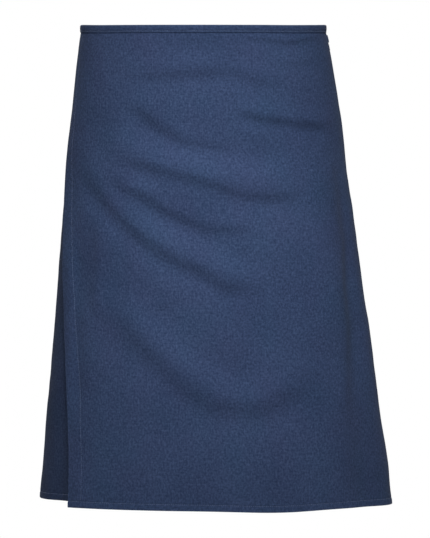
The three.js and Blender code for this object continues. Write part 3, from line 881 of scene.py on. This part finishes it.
def tie_knot():
    """A rounded block with folds running down its face."""
    low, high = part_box("bow_knot")
    bpy.ops.object.select_all(action="DESELECT")
    bpy.ops.mesh.primitive_cube_add(size=1)
    piece = bpy.context.object
    piece.name = "bow_knot_wrap"
    bpy.ops.object.mode_set(mode="EDIT")
    bpy.ops.mesh.select_all(action="SELECT")
    bpy.ops.mesh.bevel(offset=0.24, segments=3, affect="EDGES")
    bpy.ops.mesh.subdivide(number_cuts=3, smoothness=0.6)
    bpy.ops.object.mode_set(mode="OBJECT")
    places = np.array([vertex.co for vertex in piece.data.vertices])
    size = np.array(high - low) / MM
    middle = np.array(high + low) / 2 / MM
    x, y, z = places.T
    folds = KNOT_FOLD * np.cos(x * 17 + 2.2 * z) * smooth_step(y, 0.1, 0.5)
    pinch = 1 - KNOT_PINCH * np.cos(z * math.pi) ** 2
    tilt = 0.5 * np.sin(x * 9)
    shaped = np.stack([x * size[0] * pinch, y * size[1] + folds, z * size[2] + tilt], -1)
    set_places(piece, shaped + middle)
    only(piece)
    bpy.ops.object.mode_set(mode="EDIT")
    bpy.ops.mesh.select_all(action="SELECT")
    bpy.ops.uv.cube_project(cube_size=1.0)
    bpy.ops.object.mode_set(mode="OBJECT")
    far = np.full(len(piece.data.vertices), 0.004)
    set_uv(piece, far, far, "Edges")
    bpy.ops.object.shade_smooth()
    print("knot", size.round(1), "faces", len(piece.data.polygons))
    return piece


knot = tie_knot()

# %% [markdown]
# ## Stitches
# A row of machine stitching is a line of short threads, each pressed into the cloth at both ends.
# One stitch is modelled with few faces, because thousands of copies follow: a six-sided rod, cut
# near both ends, whose ends are drawn thin and sunk. Each copy is turned to its place in a row, at
# the pitch of heavy work, about three to the centimetre, and the copies of a row are joined.

# %% One stitch
STITCH_PITCH = 3.1
STITCH_LENGTH = 2.55
STITCH_WIDTH = 0.62
STITCH_TAPER = 0.55              # how thin the ends are, as a share of the middle
STITCH_SUNK = 0.28


def model_stitch():
    """A short thread along X, thinner and sunk at its ends where it enters the cloth."""
    bpy.ops.object.select_all(action="DESELECT")
    bpy.ops.mesh.primitive_cylinder_add(
        vertices=6, radius=0.5, depth=1, end_fill_type="NGON", rotation=(0, math.pi / 2, 0))
    bpy.ops.object.transform_apply(location=False, rotation=True, scale=False)
    piece = bpy.context.object
    bpy.ops.object.mode_set(mode="EDIT")
    bpy.ops.mesh.select_mode(type="VERT")
    for cut in (0.28, -0.28):
        bpy.ops.mesh.select_all(action="SELECT")
        bpy.ops.mesh.bisect(plane_co=(cut, 0, 0), plane_no=(1, 0, 0))
    bpy.ops.mesh.select_all(action="SELECT")
    size = (STITCH_LENGTH * MM, STITCH_WIDTH * MM, 0.8 * STITCH_WIDTH * MM)
    bpy.ops.transform.resize(value=size, center_override=(0, 0, 0))
    bpy.ops.mesh.select_all(action="DESELECT")
    bpy.ops.object.mode_set(mode="OBJECT")
    for corner in piece.data.vertices:
        corner.select = abs(corner.co.x) > 0.4 * STITCH_LENGTH * MM
    bpy.ops.object.mode_set(mode="EDIT")
    bpy.ops.transform.resize(value=(1, STITCH_TAPER, STITCH_TAPER), center_override=(0, 0, 0))
    bpy.ops.transform.translate(value=(0, 0, -STITCH_SUNK * MM))
    bpy.ops.object.mode_set(mode="OBJECT")
    bpy.ops.object.shade_smooth()
    return piece


stitch = model_stitch()
print("one stitch:", len(stitch.data.vertices), "corners,", len(stitch.data.polygons), "faces,",
      (np.array(stitch.dimensions) / MM).round(2), "mm")


# %% Rows of stitches
def stitch_turns(places, normals, pitch):
    """A matrix for each stitch along a line of places: its X way along the line, its Z way outwards."""
    run = np.concatenate([[0], np.cumsum(np.linalg.norm(np.diff(places, axis=0), axis=1))])
    number = max(1, int(run[-1] / pitch))
    at = (np.arange(number) + 0.5) * run[-1] / number
    point = np.stack([np.interp(at, run, places[:, k]) for k in range(3)], -1)
    ahead = np.stack([np.interp(at + 0.6, run, places[:, k]) for k in range(3)], -1)
    behind = np.stack([np.interp(at - 0.6, run, places[:, k]) for k in range(3)], -1)
    normal = np.stack([np.interp(at, run, normals[:, k]) for k in range(3)], -1)
    way = (ahead - behind) / np.linalg.norm(ahead - behind, axis=1, keepdims=True)
    across = np.cross(normal, way)
    across /= np.linalg.norm(across, axis=1, keepdims=True)
    turns = np.tile(np.eye(4), (number, 1, 1))
    turns[:, :3] = np.stack([way, across, np.cross(way, across), point * MM], -1)
    return turns


def stitch_rows(name, rows, pitch=STITCH_PITCH):
    """Copies of the stitch laid along rows of (places, outward normals), joined in one piece."""
    copies = []
    for places, normals in rows:
        for turned in stitch_turns(places, normals, pitch):
            copy = stitch.copy()
            copy.data = stitch.data.copy()
            copy.matrix_world = Matrix(turned.tolist())
            bpy.context.scene.collection.objects.link(copy)
            copies.append(copy)
    bpy.context.view_layer.update()
    bpy.ops.object.select_all(action="DESELECT")
    for copy in copies:
        copy.select_set(True)
    piece = copies[0]
    bpy.context.view_layer.objects.active = piece
    bpy.ops.object.join()
    bpy.ops.object.transform_apply(location=True, rotation=True, scale=True)
    piece.name = name
    print(name, len(copies), "stitches")
    return piece


# %% Lines for the stitches to follow
def on_cloth(panel, angle, depth, lift=THREAD_LIFT):
    """Places on a panel's outer face and the directions out of it."""
    angle, depth = np.broadcast_arrays(np.asarray(angle, float), np.asarray(depth, float))
    out = surface_out(panel, angle, depth)
    place = wrap(angle, depth, out + lift)
    round_way = wrap(angle + 0.2, depth, out) - wrap(angle - 0.2, depth, out)
    down_way = wrap(angle, depth + 0.5, out) - wrap(angle, depth - 0.5, out)
    normal = np.cross(down_way, round_way)
    return place, normal / np.linalg.norm(normal, axis=1, keepdims=True)


def hem_row(panel):
    """A stitch line along a panel's bottom hem, from where it comes out from under the next one."""
    start, finish = panel_outline(panel)
    clear = degrees_for(1.0, 0, LENGTH)
    first = start(LENGTH)
    if PANELS[panel].get("tucked"):
        first = first + degrees_for(SEAM_LAP, 0, LENGTH)
    angle = np.linspace(first + clear, finish(LENGTH) - clear, 700)
    return on_cloth(panel, angle, hem_depth(angle) - BOTTOM_HEM)


def edge_row(panel, edge, beside, top, bottom=LENGTH - BOTTOM_HEM - 2):
    """A stitch line down beside an upright edge."""
    depth = np.linspace(top, bottom, 700)
    angle = edge(depth) + degrees_for(beside, edge(depth), depth)
    return on_cloth(panel, angle, np.minimum(depth, hem_depth(angle) - BOTTOM_HEM - 1))


def band_row(lift_sign):
    """The waistband's row, on its outer leg (1) or its inner leg (-1)."""
    angle = np.linspace(WRAP_START + 1.4, WRAP_END - 1.4, 1600)
    lift = lift_sign * (BAND_HALF - 0.1)
    place = wrap(angle, BAND_STITCH, lift)
    normal = wrap(angle, BAND_STITCH, lift_sign * 3.0) - place
    return place, normal / np.linalg.norm(normal, axis=1, keepdims=True)


# %% Sew
below_band = BAND_HEIGHT + 2
slit_end = SLIT_BOTTOM + 10
front_thread = stitch_rows("front_thread", [
    hem_row("front"), edge_row("front", free_edge, SIDE_HEM, below_band),
])
right_seam_thread = stitch_rows("right_seam_thread", [
    edge_row("front", steady(RIGHT_SEAM), -row, slit_end) for row in SEAM_ROWS
])
left_seam_thread = stitch_rows("left_seam_thread", [
    edge_row("back", steady(LEFT_SEAM), -row, below_band) for row in SEAM_ROWS
])
back_thread = stitch_rows("back_thread", [hem_row("back")])
under_thread = stitch_rows("under_thread", [
    hem_row("under"), edge_row("under", steady(WRAP_END), -END_HEM, below_band),
])
band_thread = stitch_rows("band_thread", [band_row(1), band_row(-1)], pitch=2.8)


# %% Bar tacks
TACK_LIFT = BAND_HALF + 0.35
TACK_LENGTH = 7.6
TACK_STITCHES = 11


def tack_rows(angle, depth, lift, panel=None):
    """A bar of close stitches: short threads side by side down the bar."""
    rows = []
    half = degrees_for(1.1, angle, depth)
    for step in np.linspace(-TACK_LENGTH / 2, TACK_LENGTH / 2, TACK_STITCHES):
        line = np.linspace(angle - half, angle + half, 5)
        if panel:
            rows.append(on_cloth(panel, line, depth + step, lift))
            continue
        place = wrap(line, depth + step, lift)
        normal = wrap(line, depth + step, lift + 1) - place
        rows.append((place, normal))
    return rows


tack_inset = float(degrees_for(2, WRAP_START, 5))
outer_tack = stitch_rows("outer_tack", tack_rows(WRAP_START + tack_inset, BAND_HEIGHT / 2, TACK_LIFT))
inner_tack = stitch_rows("inner_tack", tack_rows(WRAP_END - tack_inset, BAND_HEIGHT / 2, TACK_LIFT))
slit_tack = stitch_rows("slit_bar_tack", tack_rows(RIGHT_SEAM - 0.3, SLIT_BOTTOM + 5.5, 0.35, "front"))
bpy.data.objects.remove(stitch)


# %% [markdown]
# ## Materials
# The cloth is a cotton twill dyed dark denim blue. Three things make it read as cloth: the weave's
# fine diagonal lines, threads of uneven dye that give a heathered speckle, and broad soft patches
# where washing has lightened it. All of them follow the UV map, which is in metres. Edges and hems
# are a little paler, because they rub. A small class turns shader maths into plain expressions.

# %% Shader maths
class Shader:
    """Builds the nodes of one material."""

    def __init__(self, name):
        self.material = bpy.data.materials.new(name)
        self.material.use_nodes = True
        self.tree = self.material.node_tree
        self.surface = self.tree.nodes["Principled BSDF"]

    def node(self, kind, settings=None, **inputs):
        """Adds a node, applies its settings first and then its inputs."""
        made = self.tree.nodes.new(kind)
        for key, value in (settings or {}).items():
            if key == "stops":
                while len(made.color_ramp.elements) < len(value):
                    made.color_ramp.elements.new(0.5)
                for element, (position, colour) in zip(made.color_ramp.elements, value):
                    element.position = position
                    element.color = (*colour, 1)
            else:
                setattr(made, key, value)
        for key, value in inputs.items():
            numbered = key[0] == "i" and key[1:].isdigit()
            self.feed(made.inputs[int(key[1:]) if numbered else key], value)
        return made

    def feed(self, socket, value):
        """Links a socket, or sets its value."""
        if isinstance(value, Value):
            self.tree.links.new(value.socket, socket)
        elif isinstance(value, bpy.types.NodeSocket):
            self.tree.links.new(value, socket)
        else:
            socket.default_value = value

    def value(self, socket):
        """A socket as a number to calculate with."""
        return Value(self, socket)

    def mix_colour(self, share, first, second, kind="MIX"):
        """Two colours mixed, or multiplied, by a share."""
        settings = {"data_type": "RGBA", "blend_type": kind}
        made = self.node("ShaderNodeMix", settings, i0=share, i6=first, i7=second)
        return made.outputs[2]


class Value:
    """A number that a node gives, with ordinary arithmetic."""

    def __init__(self, shader, socket):
        self.shader = shader
        self.socket = socket

    def maths(self, operation, *others):
        """A Math node on the numbers given."""
        inputs = {f"i{k}": item for k, item in enumerate(others)}
        made = self.shader.node("ShaderNodeMath", {"operation": operation}, **inputs)
        return Value(self.shader, made.outputs[0])

    def __add__(self, other):
        return self.maths("ADD", self, other)

    def __sub__(self, other):
        return self.maths("SUBTRACT", self, other)

    def __mul__(self, other):
        return self.maths("MULTIPLY", self, other)

    def __rsub__(self, other):
        return self.maths("SUBTRACT", other, self)

    __radd__ = __add__
    __rmul__ = __mul__

    def clipped(self):
        """Kept between 0 and 1."""
        made = self.shader.node("ShaderNodeClamp", None, Value=self)
        return Value(self.shader, made.outputs[0])


# %% Noise for yarns and dye
def noise(shader, place, scale, detail=2.0, roughness=0.5, dimensions="2D"):
    """Soft noise from 0 to 1 on a place vector."""
    made = shader.node("ShaderNodeTexNoise", {"noise_dimensions": dimensions}, Vector=place,
                       Scale=scale, Detail=detail, Roughness=roughness)
    return shader.value(made.outputs["Fac"])


def stretched(shader, place, across, down, turn=0.0):
    """The place vector with its two ways scaled apart."""
    made = shader.node("ShaderNodeMapping", {"vector_type": "POINT"}, Vector=place,
                       Scale=(across, down, 1), Rotation=(0, 0, turn))
    return made.outputs[0]


# %% Twill
RUBBED = 0.0045                  # how far in from an edge the cloth is rubbed paler
TWILL_LINES = (700, 900)         # diagonal lines to the metre, across and down
WARP = (520, 110)                # yarns to the metre across, and how often they change down their length
WEFT = (110, 480)
SPECKLE = (340, 300)
LINT = (300, 800, 0.6)
PATCHES = 9.0
DYE_PATCHES = (16, 11)
BUMP_HEIGHT = 0.0005


def yarn_light(shader, place):
    """How light the yarns are about a middle of 0, and how high they stand."""
    split = shader.node("ShaderNodeSeparateXYZ", None, Vector=place)
    u, v = shader.value(split.outputs[0]), shader.value(split.outputs[1])
    diagonal = (u * TWILL_LINES[0] + v * TWILL_LINES[1]) * math.tau
    ridge = diagonal.maths("SINE", diagonal) * 0.5 + 0.5
    warp = noise(shader, stretched(shader, place, *WARP), 1.0, 4.0, 0.62)
    weft = noise(shader, stretched(shader, place, *WEFT), 1.0, 4.0, 0.62)
    speckle = noise(shader, stretched(shader, place, *SPECKLE), 1.0, 1.0)
    light = (warp - 0.5) * 1.1 + (weft - 0.5) * 0.9 + (speckle - 0.5) * 1.3 + (ridge - 0.5) * 0.26
    return light, ridge * 0.45 + warp * 0.35 + weft * 0.35 + speckle * 0.5


def wear_light(shader, patch):
    """Paler where an edge rubs, more in some patches than in others."""
    edges = shader.node("ShaderNodeUVMap", {"uv_map": "Edges"}).outputs[0]
    split = shader.node("ShaderNodeSeparateXYZ", None, Vector=edges)
    from_edge = shader.value(split.outputs[0])
    return (1 - from_edge * (1 / RUBBED)).clipped() * (patch * 0.8 + 0.5)


def twill(name, colour, light=1.0):
    """Heathered blue twill, in metres on the UV map."""
    shader = Shader(name)
    place = shader.node("ShaderNodeUVMap", {"uv_map": "UVMap"}).outputs[0]
    yarns, height = yarn_light(shader, place)
    patch = noise(shader, place, PATCHES, 3.0, 0.55)
    rub = wear_light(shader, patch)
    lint = ((noise(shader, stretched(shader, place, *LINT), 1.0, 1.0) - 0.80) * 14).clipped()
    level = (yarns * 0.78 + (patch - 0.5) * 0.42 + rub * 0.20 + lint * 0.6 + 0.5).clipped()
    red, green, blue = (channel * light for channel in colour)
    shades = shader.node("ShaderNodeValToRGB", {"stops": [
        (0.0, (red * 0.58, green * 0.60, blue * 0.64)),
        (0.5, (red, green, blue)),
        (1.0, (red * 1.62, green * 1.55, blue * 1.45)),
    ]}, Fac=level).outputs[0]
    tint = noise(shader, stretched(shader, place, *DYE_PATCHES), 1.0, 2.0)
    dye = shader.mix_colour(tint, (0.93, 1.05, 1.02, 1), (1.09, 0.96, 1.0, 1))
    shader.feed(shader.surface.inputs["Base Color"], shader.mix_colour(1.0, shades, dye, "MULTIPLY"))
    shader.feed(shader.surface.inputs["Roughness"], 0.93 - 0.10 * level)
    bump = shader.node("ShaderNodeBump", None, Strength=0.4, Distance=BUMP_HEIGHT, Height=height)
    shader.feed(shader.surface.inputs["Normal"], bump.outputs[0])
    shader.surface.inputs["Sheen Weight"].default_value = 0.01
    shader.surface.inputs["Sheen Roughness"].default_value = 0.55
    shader.surface.inputs["Specular IOR Level"].default_value = 0.03
    return shader.material


# %% Thread
def thread(name, colour):
    """Twisted sewing thread."""
    shader = Shader(name)
    place = shader.node("ShaderNodeTexCoord").outputs["Object"]
    twist = noise(shader, place, 1800, detail=1.0, dimensions="3D")
    level = twist * 0.9 + 0.05
    shades = shader.node("ShaderNodeValToRGB", {"stops": [
        (0.2, tuple(channel * 0.75 for channel in colour)),
        (0.8, tuple(channel * 1.2 for channel in colour)),
    ]}, Fac=level).outputs[0]
    shader.feed(shader.surface.inputs["Base Color"], shades)
    shader.surface.inputs["Roughness"].default_value = 0.68
    shader.surface.inputs["Specular IOR Level"].default_value = 0.2
    shader.surface.inputs["Sheen Weight"].default_value = 0.1
    return shader.material


# %% The six finishes
DENIM = (0.0172, 0.0281, 0.0612)
UNDER_PAINTED_SHADE = 0.70               # painted shade: the under layer's colour is darkened for the shade it lies in beneath the front
BAND_SHADE = 0.95
TIE_SHADE = 0.98
outer_twill = twill("outer_twill", DENIM)
# the under layer's twill is the same twill made darker, which is painted shade
under_twill_painted_shade = twill("under_twill_painted_shade", DENIM, UNDER_PAINTED_SHADE)
band_twill = twill("band_twill", DENIM, BAND_SHADE)
tie_twill = twill("tie_twill", DENIM, TIE_SHADE)
sewing_thread = thread("sewing_thread", (0.034, 0.052, 0.100))
tack_thread = thread("tack_thread", (0.032, 0.049, 0.096))
print("materials", [material.name for material in bpy.data.materials])

# %% [markdown]
# ## Put it together
# Each piece gets its finish and stands for the imported solids that it covers, which are hidden.
# All but the front and its stitches ride on the body of the wrap. The front is one cloth that
# crosses the fold line of the loose lap; it and its stitches keep their places as they are laid.

# %% Finishes
FINISHES = (
    (outer_twill, "twill_outer", (front_cloth, back_cloth)),
    (under_twill_painted_shade, "twill_under", (under_cloth,)),
    (band_twill, "waistband_binding", (band,)),
    (tie_twill, "tie_cloth", (left_strap, right_strap, left_loop, right_loop, left_tail, right_tail, knot)),
    (sewing_thread, "thread", (front_thread, back_thread, under_thread, band_thread)),
    (sewing_thread, "thread", (right_seam_thread, left_seam_thread)),
    (tack_thread, "tack_thread", (outer_tack, inner_tack, slit_tack)),
)
for material, slot, pieces in FINISHES:
    for piece in pieces:
        piece.data.materials.clear()
        piece.data.materials.append(material)
print("finished pieces", sum(len(pieces) for material, slot, pieces in FINISHES))

# %% What each piece stands for
STANDS_FOR = (
    (front_cloth, ("front_panel", "front_lap")),
    (back_cloth, ("back_panel",)),
    (under_cloth, ("under_panel",)),
    (band, ("waistband",)),
    (left_strap, ("tie_left",)),
    (right_strap, ("tie_right",)),
    (left_loop, ("bow_loop_left",)),
    (right_loop, ("bow_loop_right",)),
    (left_tail, ("bow_tail_left",)),
    (right_tail, ("bow_tail_right",)),
    (knot, ("bow_knot",)),
    (front_thread, (
        "front_hem_stitching", "front_edge_stitching", "lap_hem_stitching", "lap_edge_stitching",
    )),
    (right_seam_thread, ("right_seam_stitching_1", "right_seam_stitching_2")),
    (left_seam_thread, ("left_seam_stitching_1", "left_seam_stitching_2")),
    (back_thread, ("back_hem_stitching",)),
    (under_thread, ("under_hem_stitching", "under_edge_stitching")),
    (band_thread, ("waistband_stitching",)),
    (outer_tack, ("outer_end_tack",)),
    (inner_tack, ("inner_end_tack",)),
    (slit_tack, ("slit_tack",)),
)
for piece, nodes in STANDS_FOR:
    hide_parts(*nodes)
print(len(STANDS_FOR), "pieces stand for", sum(len(nodes) for piece, nodes in STANDS_FOR), "solids")

# %% Move with the right body
hinge = frame["joints"][0]
axis = Vector(hinge["axis"]).normalized()
outward = Vector((-0.69, -0.72, 0))
outward = (outward - axis * outward.dot(axis)).normalized()
towards_lap = outward.cross(axis).normalized()
if towards_lap.x > 0:
    towards_lap.negate()
for piece in (front_cloth, front_thread):
    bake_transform(piece)
for piece, nodes in STANDS_FOR:
    if piece not in (front_cloth, front_thread):
        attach(piece, "wrap")
print("the lap bends towards", tuple(round(value, 3) for value in towards_lap))


band_area / band_width
for piece, area in (
    (left_strap, left_strap_area), (right_strap, right_strap_area), (left_loop, left_loop_area),
    (right_loop, right_loop_area), (left_tail, left_tail_area), (right_tail, right_tail_area),
):
    area / (TIE_WIDTH * MM)
